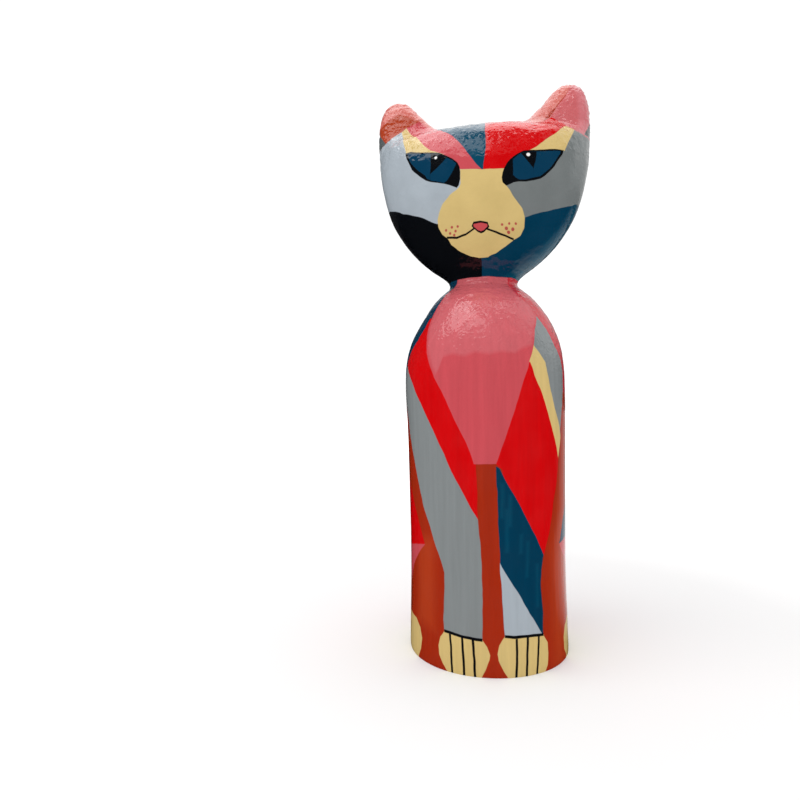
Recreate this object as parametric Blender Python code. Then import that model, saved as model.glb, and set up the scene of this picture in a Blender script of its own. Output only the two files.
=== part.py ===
"""A papier-mache cat, 31 cm tall, pasted over the shape of a drinks bottle.

The cat is one closed solid. It sits upright on a flat round base, +Z is up, the origin is the middle
of the underside and the breast faces -Y. A bottle body with sloping shoulders narrows to a tight neck.
The head is a wide bowl, turned a little to its own right, with two thick ears pulled up at its corners.
The surface is a cage of rings that a Subdivision Surface modifier rounds off, as paste and paper do.
"""

import math

import bmesh
import bpy
from mathutils import Matrix, Vector

MM = 0.001

# Body: a straight bottle side, with the slight waist of the pasted paper
BODY_RADIUS = 44.0 * MM
BASE_RADIUS = 44.6 * MM
BASE_CHAMFER = 0.6 * MM
SHOULDER_HEIGHT = 157.0 * MM
WAIST_SHARE = 0.982
WAIST_PLACE = 0.36

# Neck and shoulders
NECK_RADIUS = 18.8 * MM
NECK_HEIGHT = 206.0 * MM
SHOULDER_CURVE = 55.0 * MM
SHOULDER_TURN = math.radians(48.0)

# Head: a bowl whose side outline is widest near the top. The face bulges lower down, and the forehead
# stands nearly upright over it before it rolls over to the crown
HEAD_HALF_WIDTH = 59.8 * MM
HEAD_HALF_DEPTH = 42.0 * MM
HEAD_RISE = 81.0 * MM
FACE_RISE = 49.0 * MM
CROWN_RISE = 89.0 * MM
BOWL_FULLNESS = 2.2
FOREHEAD_FULLNESS = 2.5
HEAD_YAW = math.radians(-6.0)

# Ears: how high the tip is over the neck, how far it is from the middle, and how thick root and tip are
EAR_TIP_RISE = 106.0 * MM
EAR_TIP_OUT = 49.0 * MM
EAR_THICKNESS = 24.0 * MM
EAR_TIP_THICKNESS = 13.0 * MM

# Cage
SIDES = 16
CAP_CELLS = SIDES // 4
SMOOTHING = 2
# A ring of cage points rounds off to a smaller circle, so each ring is drawn larger by this
RING_SWELL = 6.0 / (4.0 + 2.0 * math.cos(2.0 * math.pi / SIDES))


def bowl_share(distance, reach, fullness=2.0):
    """How wide a bowl still is at a distance from its middle, from 1 down to 0 at its reach."""
    return max(0.0, 1.0 - (distance / reach) ** fullness) ** (1.0 / fullness)


def body_rings():
    """(height, half width, half depth) of each ring from the base up to the neck."""
    rings = [
        (0.0, BASE_RADIUS - BASE_CHAMFER / 2),
        (BASE_CHAMFER, BASE_RADIUS),
        (SHOULDER_HEIGHT * WAIST_PLACE, BODY_RADIUS * WAIST_SHARE),
        (SHOULDER_HEIGHT, BODY_RADIUS * 1.01),
    ]
    for step in (1, 2, 3):
        turn = SHOULDER_TURN * step / 3
        rings.append(
            (
                SHOULDER_HEIGHT + SHOULDER_CURVE * math.sin(turn),
                BODY_RADIUS - SHOULDER_CURVE * (1.0 - math.cos(turn)),
            )
        )
    height, radius = rings[-1]
    rings.append(((height + NECK_HEIGHT) / 2, (radius + NECK_RADIUS) / 2 - 3.5 * MM))
    rings.append((NECK_HEIGHT, NECK_RADIUS))
    return [(height, radius, radius) for height, radius in rings]


def head_rings():
    """(height, half width, half depth) of each ring from just over the neck up to the rim."""
    rings = []
    for share in (0.05, 0.12, 0.25, 0.43, 0.62, 0.81, 0.96):
        rise = share * HEAD_RISE
        width = HEAD_HALF_WIDTH * bowl_share(HEAD_RISE - rise, HEAD_RISE, BOWL_FULLNESS)
        if rise < FACE_RISE:
            depth = HEAD_HALF_DEPTH * bowl_share(FACE_RISE - rise, FACE_RISE)
        else:
            reach = CROWN_RISE - FACE_RISE
            depth = HEAD_HALF_DEPTH * bowl_share(rise - FACE_RISE, reach, FOREHEAD_FULLNESS)
        rings.append(
            (NECK_HEIGHT + rise, rounded_maximum(width, NECK_RADIUS), rounded_maximum(depth, NECK_RADIUS))
        )
    return rings


def rounded_maximum(first, second, sharpness=6):
    """The larger of two sizes, eased where they are nearly the same."""
    return (first**sharpness + second**sharpness) ** (1.0 / sharpness)


def ring_point(place, height, half_width, half_depth):
    """A cage point on a ring: place 0 is at +X, and the points run round towards +Y."""
    angle = 2.0 * math.pi * place / SIDES
    return Vector(
        (
            half_width * RING_SWELL * math.cos(angle),
            half_depth * RING_SWELL * math.sin(angle),
            height,
        )
    )


def add_ring(mesh, ring, placing):
    """A ring of cage points, moved to where the head or the body stands."""
    return [mesh.verts.new(placing @ ring_point(place, *ring)) for place in range(SIDES)]


def join_rings(mesh, lower, upper):
    """One band of four-sided faces between two rings."""
    for place in range(SIDES):
        after = (place + 1) % SIDES
        mesh.faces.new((lower[place], lower[after], upper[after], upper[place]))


def cap_grid(mesh, rim, placing):
    """Closes the top with a square grid of faces, and returns its points by column and row."""
    corner = SIDES // 8
    grid = {}
    for step in range(CAP_CELLS + 1):
        grid[CAP_CELLS, step] = rim[(step - corner) % SIDES]
        grid[CAP_CELLS - step, CAP_CELLS] = rim[(corner + step) % SIDES]
        grid[0, CAP_CELLS - step] = rim[(3 * corner + step) % SIDES]
        grid[step, 0] = rim[(5 * corner + step) % SIDES]
    middle = CAP_CELLS / 2
    for column in range(1, CAP_CELLS):
        for row in range(1, CAP_CELLS):
            across = (column - middle) / middle
            along = (row - middle) / middle
            droop = 4.0 * MM * abs(across) + 6.0 * MM * abs(along)
            place = Vector(
                (
                    across * HEAD_HALF_WIDTH * 0.76,
                    along * EAR_THICKNESS,
                    NECK_HEIGHT + CROWN_RISE - droop,
                )
            )
            grid[column, row] = mesh.verts.new(placing @ place)
    for column in range(CAP_CELLS):
        for row in range(CAP_CELLS):
            mesh.faces.new(
                (
                    grid[column, row],
                    grid[column + 1, row],
                    grid[column + 1, row + 1],
                    grid[column, row + 1],
                )
            )
    return grid


def pull_ear(mesh, grid, name, placing):
    """Draws two faces of the cap up and in, level by level, into an ear that is thinner at its tip."""
    side = 1 if name == "right" else -1
    column = CAP_CELLS - 1 if side > 0 else 0
    middle = CAP_CELLS // 2
    rows = (middle - 1, middle)
    points = [{grid[c, r] for c in (column, column + 1) for r in (row, row + 1)} for row in rows]
    faces = [face for face in mesh.faces if set(face.verts) in points]
    root = NECK_HEIGHT + HEAD_RISE
    tip = NECK_HEIGHT + EAR_TIP_RISE
    levels = (
        (0.45, EAR_TIP_OUT - 18.5 * MM, HEAD_HALF_WIDTH, EAR_THICKNESS),
        (0.86, EAR_TIP_OUT - 9.5 * MM, EAR_TIP_OUT + 7.5 * MM, EAR_TIP_THICKNESS * 1.25),
        (1.08, EAR_TIP_OUT - 4.0 * MM, EAR_TIP_OUT + 3.0 * MM, EAR_TIP_THICKNESS * 0.6),
    )
    for share, inner, outer, thickness in levels:
        grown = bmesh.ops.extrude_face_region(mesh, geom=faces)
        bmesh.ops.delete(mesh, geom=faces, context="FACES_ONLY")
        faces = [item for item in grown["geom"] if isinstance(item, bmesh.types.BMFace)]
        shape_level(faces, placing, side, (inner, outer), thickness, root + share * (tip - root))


def shape_level(faces, placing, side, reach, thickness, height):
    """Moves the points of an ear's top faces onto an oblong at one height, rounded on its outer side."""
    points = list({vert for face in faces for vert in face.verts})
    back = placing.inverted()
    local = {vert: back @ vert.co for vert in points}
    by_depth = sorted(points, key=lambda vert: local[vert].y)
    rows = (by_depth[:2], by_depth[2:4], by_depth[4:])
    for row, depth in zip(rows, (-0.5, 0.0, 0.5), strict=True):
        inner, outer = sorted(row, key=lambda vert: abs(local[vert].x))
        bulge = 0.8 * MM if depth == 0.0 else -1.8 * MM
        inner.co = placing @ Vector((side * reach[0], depth * thickness, height))
        outer.co = placing @ Vector((side * (reach[1] + bulge), depth * thickness, height))


def cat_cage():
    """The whole cat as a coarse closed cage of four-sided faces over a flat base."""
    mesh = bmesh.new()
    upright = Matrix.Identity(4)
    turned = Matrix.Rotation(HEAD_YAW, 4, "Z")
    rings = [add_ring(mesh, ring, upright) for ring in body_rings()]
    rings += [add_ring(mesh, ring, turned) for ring in head_rings()]
    for lower, upper in zip(rings, rings[1:], strict=False):
        join_rings(mesh, lower, upper)
    underside = mesh.faces.new(list(reversed(rings[0])))
    grid = cap_grid(mesh, rings[-1], turned)
    for name in ("left", "right"):
        pull_ear(mesh, grid, name, turned)
    crease = mesh.edges.layers.float.new("crease_edge")
    for edge in underside.edges:
        edge[crease] = 1.0
    bmesh.ops.recalc_face_normals(mesh, faces=mesh.faces)
    return mesh


def paint():
    """Acrylic paint under a satin varnish; the source keeps only its commonest colour."""
    material = bpy.data.materials.new("painted_papier_mache")
    material.use_nodes = True
    shader = material.node_tree.nodes["Principled BSDF"]
    shader.inputs["Base Color"].default_value = (0.48, 0.06, 0.03, 1.0)
    shader.inputs["Roughness"].default_value = 0.4
    shader.inputs["Metallic"].default_value = 0.0
    return material


def build():
    """Clears the scene and leaves the finished cat in it."""
    for old in list(bpy.data.objects):
        bpy.data.objects.remove(old)
    cage = cat_cage()
    mesh = bpy.data.meshes.new("papier_mache_cat")
    cage.to_mesh(mesh)
    cage.free()
    cat = bpy.data.objects.new("papier_mache_cat", mesh)
    bpy.context.scene.collection.objects.link(cat)
    rounding = cat.modifiers.new("rounding", "SUBSURF")
    rounding.levels = SMOOTHING
    rounding.render_levels = SMOOTHING
    mesh.shade_smooth()
    mesh.materials.append(paint())
    return cat


build()
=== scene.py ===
# %% [markdown]
# # A papier-mache cat
# The cat is paste and paper over the shape of a drinks bottle, painted in plain fields of acrylic paint
# and varnished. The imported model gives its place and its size. Everything that shows is made here: one
# skin of paper with its wrinkles, one paint finish, a pale studio and the camera.

import math

import bmesh
import bpy
from mathutils import Matrix, Vector


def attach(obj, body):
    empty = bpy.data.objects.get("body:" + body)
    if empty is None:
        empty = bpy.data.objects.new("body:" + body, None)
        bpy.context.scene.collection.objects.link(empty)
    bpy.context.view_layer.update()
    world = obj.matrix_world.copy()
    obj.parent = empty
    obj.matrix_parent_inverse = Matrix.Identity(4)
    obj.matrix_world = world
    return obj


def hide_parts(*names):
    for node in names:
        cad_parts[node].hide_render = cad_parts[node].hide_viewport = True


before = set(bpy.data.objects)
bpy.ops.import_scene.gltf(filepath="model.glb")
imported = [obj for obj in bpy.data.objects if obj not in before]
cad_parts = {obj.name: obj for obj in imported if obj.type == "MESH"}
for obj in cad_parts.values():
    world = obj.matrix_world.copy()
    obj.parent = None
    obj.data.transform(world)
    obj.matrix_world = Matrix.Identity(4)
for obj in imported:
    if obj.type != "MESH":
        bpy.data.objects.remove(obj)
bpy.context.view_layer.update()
MM = 0.001

# %% [markdown]
# ## The camera
# The picture was taken with a level phone held at half the cat's height, close enough for the base to
# show as an ellipse and for the underside of the head to show. The camera's place comes first, because
# every mark that is painted later is judged through it.

# %% The camera
VIEW_TURN = math.radians(5.0)
VIEW_ROLL = -0.0133
VIEW_PLACE = (-18.94 * MM, -342.64 * MM, 139.7 * MM)
lens = bpy.data.cameras.new("camera")
lens.sensor_width = 36.0
lens.lens = 26.64
lens.clip_start = 0.01
camera = bpy.data.objects.new("camera", lens)
bpy.context.scene.collection.objects.link(camera)
camera.location = VIEW_PLACE
turned = Matrix.Rotation(VIEW_TURN, 4, "Z")
level = Matrix.Rotation(math.radians(90.0), 4, "X")
rolled = Matrix.Rotation(VIEW_ROLL, 4, "Z")
camera.rotation_euler = (turned @ level @ rolled).to_euler()
bpy.context.scene.camera = camera
print("camera", round(math.hypot(*VIEW_PLACE[:2]) / MM), "mm from the cat's middle")

# %% [markdown]
# ## Choosing points in edit mode
# A mesh operator acts on all that is selected. Two short helpers do what a hand does: pick the points in
# one place, and press what is picked flat onto a plane, which is a scaling by nought about that plane.


# %% Picking and pressing flat
def pick(test):
    """Selects only the points of the mesh in edit mode whose place passes the test."""
    bpy.ops.mesh.select_all(action="DESELECT")
    mesh = bmesh.from_edit_mesh(bpy.context.object.data)
    for point in mesh.verts:
        point.select_set(test(point.co))
    mesh.select_flush(True)
    bmesh.update_edit_mesh(bpy.context.object.data)


def press_flat(axis, place):
    """Moves all selected points onto one plane, across the named axis."""
    factors = [0.0 if name == axis else 1.0 for name in "XYZ"]
    middle = [place if name == axis else 0.0 for name in "XYZ"]
    bpy.ops.transform.resize(value=factors, center_override=middle)


# %% [markdown]
# ## The body and the bowl of the head
# The real form is a bottle with paper pasted over it, and a bowl of paper for the head. A hand would
# start from a round base and draw it up ring by ring: each ring is an extrusion of the last one, moved
# up and made wider or narrower. The first step is only the slight chamfer of the base's edge. Sixteen
# sides are enough, since a subdivision rounds them off later. It pulls every ring in a little, so each
# one is drawn larger by the same share. At the end one shoulder is pushed about.

# %% Rings from the base to the rim of the head
SIDES = 16
RING_SWELL = 6.0 / (4.0 + 2.0 * math.cos(2.0 * math.pi / SIDES))
NECK_HEIGHT = 206.0
# height and radius in mm: the body has a slight waist, and is round all the way up
BODY = [(0, 44.1), (0.8, 44.5), (19, 44.0), (37, 43.5), (56, 43.3), (87, 43.8), (118, 44.2), (138, 44.3)]
SHOULDER = [(157, 44.3), (172.2, 41.9), (186.1, 35.6), (197.9, 25.8), (201.9, 18.8), (NECK_HEIGHT, 18.8)]
# height, half width and half depth
HEAD = [
    (210.1, 22.9, 20.1),
    (215.7, 31.8, 25.8),
    (226.3, 42.7, 34.0),
    (240.8, 52.2, 40.2),
    (256.2, 56.5, 42.0),
    (271.6, 59.1, 40.1),
    (283.8, 59.8, 33.3),
]
# the shoulder isn't even: on the cat's right it is fuller low down and slacker near the neck
UNEVEN_SHOULDER = [(138, -0.8), (157, -1.4), (172.2, -0.4), (186.1, 1.6)]
rings = [(height, radius, radius) for height, radius in BODY + SHOULDER] + HEAD
bpy.ops.object.select_all(action="DESELECT")
bpy.ops.mesh.primitive_circle_add(vertices=SIDES, radius=rings[0][1] * RING_SWELL * MM, fill_type="NGON")
cat = bpy.context.object
cat.name = "cat_skin"
bpy.ops.object.mode_set(mode="EDIT")
for below, ring in zip(rings, rings[1:], strict=False):
    bpy.ops.mesh.extrude_region_move(TRANSFORM_OT_translate={"value": (0, 0, (ring[0] - below[0]) * MM)})
    bpy.ops.transform.resize(
        value=(ring[1] / below[1], ring[2] / below[2], 1.0), center_override=(0.0, 0.0, 0.0)
    )
for height, push in UNEVEN_SHOULDER:
    pick(lambda place: abs(place.z - height * MM) < MM and place.x < -20 * MM)
    bpy.ops.transform.translate(value=(push * MM, 0, 0))
print(len(rings), "rings up to", rings[-1][0], "mm")

# %% [markdown]
# ## The crown
# The top is closed with a square grid, not a fan, so that two of its faces on each side can become an
# ear. Its inner points are pressed into three columns and three rows and lifted to the crown, which droops
# a little to all sides.

# %% The crown
CROWN_HEIGHT = 295.0
CROWN_COLUMN = 22.7
CROWN_ROW = 12.0
# how much lower the outer columns and rows lie
COLUMN_DROOP = 2
ROW_DROOP = 3
bpy.ops.mesh.delete(type="ONLY_FACE")
rim = rings[-1][0] * MM
pick(lambda place: place.z > rim - MM)
bpy.ops.mesh.fill_grid(span=SIDES // 4, offset=2)


def inside_rim(place):
    """True for the crown's own points, inside the rim of the head."""
    across, along = place.x / (rings[-1][1] * MM), place.y / (rings[-1][2] * MM)
    return place.z > rim - MM and math.hypot(across, along) < 0.9 * RING_SWELL


pick(inside_rim)
bpy.ops.transform.translate(value=(0, 0, CROWN_HEIGHT * MM - rim))
crown = CROWN_HEIGHT * MM
for side in (-1, 1):
    pick(lambda place: place.z > crown - MM and place.x * side > 5 * MM)
    press_flat("X", side * CROWN_COLUMN * MM)
    pick(lambda place: place.z > crown - MM and place.y * side > 5 * MM)
    press_flat("Y", side * CROWN_ROW * MM)
for side in (-1, 1):
    pick(lambda place: place.z > crown - 4 * MM and place.x * side > 10 * MM)
    bpy.ops.transform.translate(value=(0, 0, -COLUMN_DROOP * MM))
    pick(lambda place: place.z > crown - 4 * MM and place.y * side > 5 * MM)
    bpy.ops.transform.translate(value=(0, 0, -ROW_DROOP * MM))
print("crown points:", sum(v.co.z > crown - 6 * MM for v in bmesh.from_edit_mesh(cat.data).verts))

# %% [markdown]
# ## The ears
# Each ear is two faces of the crown, drawn up three times. After each extrusion the six points on top are
# pressed onto an oblong that is narrower and thinner than the last, with its outer side bulged a little,
# so that the ear comes out as the thick, blunt fin that folded paper makes.

# %% The ears
EAR_LEVELS = [
    # height, inner edge, outer edge and thickness in mm
    (298.3, 30.5, 59.8, 24.0),
    (308.5, 39.0, 57.0, 16.3),
    (313.2, 43.2, 53.0, 9.0),
]
# how far an ear's outer side bulges in the middle, and how far its corners are taken back
EAR_BULGE = 0.8
EAR_CORNER = 1.8
for side in (-1, 1):
    pick(
        lambda place: (
            place.z > rim - MM and place.x * side > 20 * MM and abs(place.y) < 17 * MM and place.z < crown
        )
    )
    for height, inner, outer, thickness in EAR_LEVELS:
        bpy.ops.mesh.extrude_region_move(TRANSFORM_OT_translate={"value": (0, 0, 0)})
        press_flat("Z", height * MM)
        level = [v.co.copy() for v in bmesh.from_edit_mesh(cat.data).verts if v.select]
        middle = sum(abs(place.x) for place in level) / len(level)

        def on_level(place):
            """True for the points that were just drawn up."""
            return abs(place.z - height * MM) < 1e-6 and place.x * side > 0

        pick(lambda place: on_level(place) and abs(place.x) < middle)
        press_flat("X", side * inner * MM)
        pick(lambda place: on_level(place) and abs(place.x) > middle and abs(place.y) < 2 * MM)
        press_flat("X", side * (outer + EAR_BULGE) * MM)
        pick(lambda place: on_level(place) and abs(place.x) > middle and abs(place.y) > 2 * MM)
        press_flat("X", side * (outer - EAR_CORNER) * MM)
        for row in (-1, 1):
            pick(lambda place: on_level(place) and place.y * row > 2 * MM)
            press_flat("Y", row * thickness / 2 * MM)
        pick(on_level)
    print("ear on side", side, "drawn up to", EAR_LEVELS[-1][0], "mm")

# %% [markdown]
# ## The turned head and the smooth form
# The cat looks a few degrees to its own right. Everything above the neck is turned about the upright
# axis. Then the cage is rounded off with a Subdivision Surface, whose base edge stays firm, to faces of
# about a millimetre, fine enough to hold the wrinkles of the paper.

# %% The turned head and the smooth form
HEAD_TURN = math.radians(-6.0)
SMOOTHING = 4
pick(lambda place: place.z > (NECK_HEIGHT + 1) * MM)
# With no window the turn runs the other way, so its sign is changed
bpy.ops.transform.rotate(value=-HEAD_TURN, orient_axis="Z", center_override=(0.0, 0.0, 0.0))
pick(lambda place: place.z < 0.4 * MM)
bpy.ops.transform.edge_crease(value=1.0)
bpy.ops.mesh.select_all(action="SELECT")
bpy.ops.mesh.normals_make_consistent(inside=False)
bpy.ops.object.mode_set(mode="OBJECT")
rounding = cat.modifiers.new("rounding", "SUBSURF")
rounding.levels = SMOOTHING
rounding.render_levels = SMOOTHING
bpy.ops.object.modifier_apply(modifier="rounding")
print("smooth form:", len(cat.data.polygons), "faces")

# %% [markdown]
# ## Where the paper is rough
# Wet paper follows a straight bottle side closely, and creases where it has to bend both ways: a little on
# the shoulders and the bowl of the face, and most on the crown and the ears. A vertex group holds that as a
# share for each point, from nothing at the flat underside to full on the ears, and every relief below is
# weighted by it.

# %% Where the paper is rough
ROUGH_SHARES = [
    # height in mm, share
    (0.2, 0.0),
    (3.0, 0.1),
    (140.0, 0.1),
    (172.0, 0.45),
    (205.0, 0.35),
    (225.0, 0.25),
    (262.0, 0.3),
    (282.0, 1.0),
]


def roughness_share(height):
    """How strongly the paper is creased at a height in mm over the underside."""
    share = ROUGH_SHARES[0][1]
    for (low, calmer), (high, rougher) in zip(ROUGH_SHARES, ROUGH_SHARES[1:]):
        share += (rougher - calmer) * min(max((height - low) / (high - low), 0.0), 1.0)
    return share


creased = cat.vertex_groups.new(name="creased")
for point in cat.data.vertices:
    creased.add([point.index], roughness_share(point.co.z / MM), "REPLACE")
print("creased at 80, 180 and 290 mm:", [round(roughness_share(h), 2) for h in (80, 180, 290)])

# %% [markdown]
# ## Unevenness and wrinkles
# Three reliefs lie over each other. The layers of paper are thicker here and thinner there, over a few
# centimetres. The torn sheets cockle in lumps of about half a centimetre. And paste draws the top sheet
# into sharp ridges, a few millimetres apart. They could be a bump in the material, but a wrinkle that
# breaks the outline and the highlights has to be in the mesh, so each is a Displace modifier that is
# applied.

# %% Unevenness and wrinkles
RELIEFS = [
    # name, texture, size and height in mm, middle level
    ("thickness", "CLOUDS", 24.0, 1.2, 0.5),
    ("cockles", "CLOUDS", 4.0, 0.65, 0.5),
    ("ridges", "MUSGRAVE", 3.4, 0.3, 0.8),
]
for name, kind, size, height, middle in RELIEFS:
    texture = bpy.data.textures.new(name, kind)
    texture.noise_scale = size * MM
    if kind == "MUSGRAVE":
        texture.musgrave_type = "RIDGED_MULTIFRACTAL"
        texture.octaves = 2.0
    else:
        texture.noise_depth = 1
    relief = cat.modifiers.new(name, "DISPLACE")
    relief.texture = texture
    relief.texture_coords = "LOCAL"
    relief.vertex_group = "creased"
    relief.strength = height * MM
    relief.mid_level = middle
    bpy.ops.object.modifier_apply(modifier=name)
bpy.ops.object.shade_smooth_by_angle(angle=math.radians(50.0))
heights = [point.co.z / MM for point in cat.data.vertices]
print("after the wrinkles the cat is", round(min(heights), 2), "to", round(max(heights), 2), "mm high")

# %% [markdown]
# ## Building the paint
# The paint is one Principled shader. One helper adds any node, gives it its settings, and fills its inputs
# with values or with links from other nodes. Another turns a paint's hex colour to the linear values that
# Blender calculates with.

# %% Adding nodes and mixing colours
PAINTS = {
    "rust": "A22A10",
    # partly thinner paint, partly a painted sheen at the sides of the body
    "thin rust and sheen": "AF3A1A",
    "red": "CE0409",
    "pink": "C84E56",
    # partly a paler coat, partly a painted sheen on the breast that also lightens the shade under the head
    "pale pink sheen": "CB6067",
    "rose": "C8303C",
    "mid grey": "838889",
    "cheek grey": "757A7A",
    "light grey": "A7B0B8",
    "dark grey": "5A5F60",
    "blue": "033852",
    "brushed blue": "06465F",
    # partly thinner paint, partly a painted sheen on the jaw's right edge
    "thin blue and sheen": "0A566C",
    "cream": "D4B979",
    "black": "0A0C10",
    "nose pink": "C64C50",
    "salmon": "CE6F66",
    "ear rust": "AE4022",
    "dusky pink": "C86468",
    "ear pink": "CE747A",
    "dot red": "B4524A",
    "iris blue": "053854",
    "white": "F4F4F2",
}


def add_node(tree, kind, inputs=None, **settings):
    """Adds one node with its settings; an input is a value, an output, or a node for its first output."""
    node = tree.nodes.new("ShaderNode" + kind)
    for name, value in settings.items():
        setattr(node, name, value)
    for name, value in (inputs or {}).items():
        if isinstance(value, bpy.types.Node):
            value = value.outputs[0]
        if isinstance(value, bpy.types.NodeSocket):
            tree.links.new(value, node.inputs[name])
        else:
            node.inputs[name].default_value = value
    return node


def paint_colour(name):
    """The linear colour of a paint, from its sRGB hex value."""
    channels = [int(PAINTS[name][i : i + 2], 16) / 255.0 for i in (0, 2, 4)]
    return (*[c / 12.92 if c <= 0.04045 else ((c + 0.055) / 1.055) ** 2.4 for c in channels], 1.0)


print(len(PAINTS), "paints; rust is", [round(c, 3) for c in paint_colour("rust")])

# %% [markdown]
# ## Two charts of the skin
# A painter works on the body as on a sheet wrapped round the bottle, and on the face as on a picture seen
# from the front. So the body's fields are drawn by the distance round it and the height, and the head's by
# the distance across it and the height, both in mm. The head's chart is turned with the head. A slow noise
# moves both charts by a fraction of a millimetre, which makes every painted border as unsteady as a brush.

# %% Two charts of the skin
GIRTH_RADIUS = 44.0
BRUSH_WAVE = 9.0
BRUSH_STRAY = 1.0
paint = bpy.data.materials.new("varnished_acrylic_on_papier_mache")
paint.use_nodes = True
tree = paint.node_tree
tree.nodes.clear()
place = add_node(tree, "TexCoord").outputs["Object"]
in_mm = add_node(tree, "VectorMath", {0: place, "Scale": 1.0 / MM}, operation="SCALE")
unsteady = add_node(tree, "TexNoise", {"Vector": in_mm, "Scale": 1.0 / BRUSH_WAVE, "Detail": 1.0})
centred = add_node(
    tree, "VectorMath", {0: unsteady.outputs["Color"], 1: (0.5, 0.5, 0.5)}, operation="SUBTRACT"
)
stray = add_node(tree, "VectorMath", {0: centred, "Scale": BRUSH_STRAY}, operation="SCALE")
skin = add_node(tree, "VectorMath", {0: in_mm, 1: stray}, operation="ADD")
straight = add_node(tree, "SeparateXYZ", {0: skin})
up = straight.outputs["Z"]
forward = add_node(tree, "Math", {0: straight.outputs["Y"], 1: -1.0}, operation="MULTIPLY")
bearing = add_node(tree, "Math", {0: straight.outputs["X"], 1: forward}, operation="ARCTAN2")
girth = add_node(tree, "Math", {0: bearing, 1: GIRTH_RADIUS}, operation="MULTIPLY")
facing = add_node(tree, "VectorRotate", {"Vector": skin, "Angle": -HEAD_TURN}, rotation_type="Z_AXIS")
turned_skin = add_node(tree, "SeparateXYZ", {0: facing})
behind = turned_skin.outputs["Y"]
BODY_CHART = (girth, up)
HEAD_CHART = (turned_skin.outputs["X"], up)
print("charts made with", len(tree.nodes), "nodes")

# %% [markdown]
# ## Painting one field
# A field is the space inside a few borders. Each border gives every point of the skin its distance from
# it in mm, positive inside, and the smallest of them is the distance to the field's edge. A border that
# isn't straight is a Float Curve through the points where the painter's line bends. The field is then
# laid over what is painted already, with an edge as sharp as a brush leaves, or with a wider one where
# a thin coat or a painted sheen runs out. A field on the front of the face is kept off the back of the
# head, where the distances across are the same.

# %% Painting one field
EDGE_WIDTH = 0.33


def bent_line(along, points):
    """The line through some points, read at a distance along one side of the chart."""
    curve = add_node(tree, "FloatCurve", {"Value": along})
    mapping = curve.mapping
    points = sorted(points)
    mapping.use_clip = False
    mapping.clip_min_x = points[0][0]
    mapping.clip_max_x = points[-1][0]
    mapping.extend = "HORIZONTAL"
    knots = mapping.curves[0].points
    knots[0].location = points[0]
    knots[1].location = points[-1]
    for point in points[1:-1]:
        knots.new(*point)
    for knot in knots:
        knot.handle_type = "VECTOR"
    mapping.update()
    return curve


def inside_border(chart, side, line):
    """How far inside one border each point is, in mm; upright ones are listed as (height, across)."""
    across, height = chart
    measured, along = (across, height) if side in ("right_of", "left_of") else (height, across)
    border = line if isinstance(line, (int, float)) else bent_line(along, line)
    order = {0: measured, 1: border} if side in ("right_of", "over") else {0: border, 1: measured}
    return add_node(tree, "Math", order, operation="SUBTRACT")


def inside_stroke(chart, run, line, width):
    """How far inside a brush stroke each point is; it runs up, as (height, across), or across."""
    side = "right_of" if run == "up" else "over"
    away = inside_border(chart, side, line)
    away = add_node(tree, "Math", {0: away}, operation="ABSOLUTE")
    return add_node(tree, "Math", {0: width / 2.0, 1: away}, operation="SUBTRACT")


def inside_dot(chart, middle, radius):
    """How far inside a round dot each point is."""
    flat = add_node(tree, "CombineXYZ", {"X": chart[0], "Y": chart[1]})
    away = add_node(tree, "VectorMath", {0: flat, 1: (*middle, 0.0)}, operation="DISTANCE")
    return add_node(tree, "Math", {0: radius, 1: away.outputs["Value"]}, operation="SUBTRACT")


def paint_field(
    chart, ground, colour, front=False, stroke=None, dot=None, size=1.0, edge=EDGE_WIDTH, **borders
):
    """Lays one field, stroke or dot of a paint over the ground that is there and returns the new colour."""
    distances = [inside_border(chart, side, line) for side, line in borders.items()]
    if front:
        distances.append(add_node(tree, "Math", {0: 0.0, 1: behind}, operation="SUBTRACT"))
    if stroke:
        distances.append(inside_stroke(chart, *stroke, size))
    if dot:
        distances.append(inside_dot(chart, dot, size))
    inside = distances[0]
    for other in distances[1:]:
        inside = add_node(tree, "Math", {0: inside, 1: other}, operation="MINIMUM")
    cover = add_node(
        tree, "Math", {0: inside, 1: 1.0 / edge, 2: 0.5}, operation="MULTIPLY_ADD", use_clamp=True
    )
    # A Mix node of colours has its factor at 0 and its two colours at 6 and 7, and gives its colour at 2
    laid = {0: cover, 6: ground, 7: paint_colour(colour)}
    return add_node(tree, "Mix", laid, data_type="RGBA").outputs[2]


def paint_line(chart, ground, line, width, **others):
    """Lays a black line that runs across, from its first point to its last."""
    ends = {"right_of": line[0][0], "left_of": line[-1][0]}
    return paint_field(chart, ground, "black", stroke=("across", line), size=width, **ends, **others)


print("a field's edge is", EDGE_WIDTH, "mm wide")

# %% [markdown]
# ## The coat
# Long slanting fields run down the body like the facets of a jacket: a pink bib, red, grey and cream
# fields beside it, and the blue and the rose of the back. The ground is rust, painted lighter at both
# sides of the legs, partly as thinner paint and partly as a painted sheen. The bib's upper part is paler,
# partly a second coat and partly a painted sheen, which also lightens the shade under the head. The
# fields are listed in the order of painting, so a later one covers an earlier one. Distances round the
# body are counted from the middle of the breast, to the picture's right.
# The back isn't seen in the picture and is kept plain: the blue and the rose of the shoulders run down it
# and meet along the spine.

# %% The coat
BIB_RIGHT_EDGE = [
    (205.9, -38.9), (200.6, -45), (193.2, -43.5), (185.6, -43.5), (179.4, -41.6), (171.7, -38.5),
    (164.4, -36.1), (158.5, -33.5), (150.6, -29.3), (142.9, -24.9), (133.9, -20.3), (125.1, -15.9),
    (117, -11.8), (107.1, -8.4),
]
BIB_LEFT_EDGE = [
    (204.3, 31.6), (198.9, 27.5), (194.6, 28.3), (189.3, 33.1), (182.8, 34.5), (175.5, 28.8),
    (168.3, 25.7), (163.4, 23.7), (157.9, 21.2), (149, 17.6), (139.6, 14.4), (130.9, 11.4), (121, 7.8),
    (113, 5), (107.2, 2.7),
]
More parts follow.
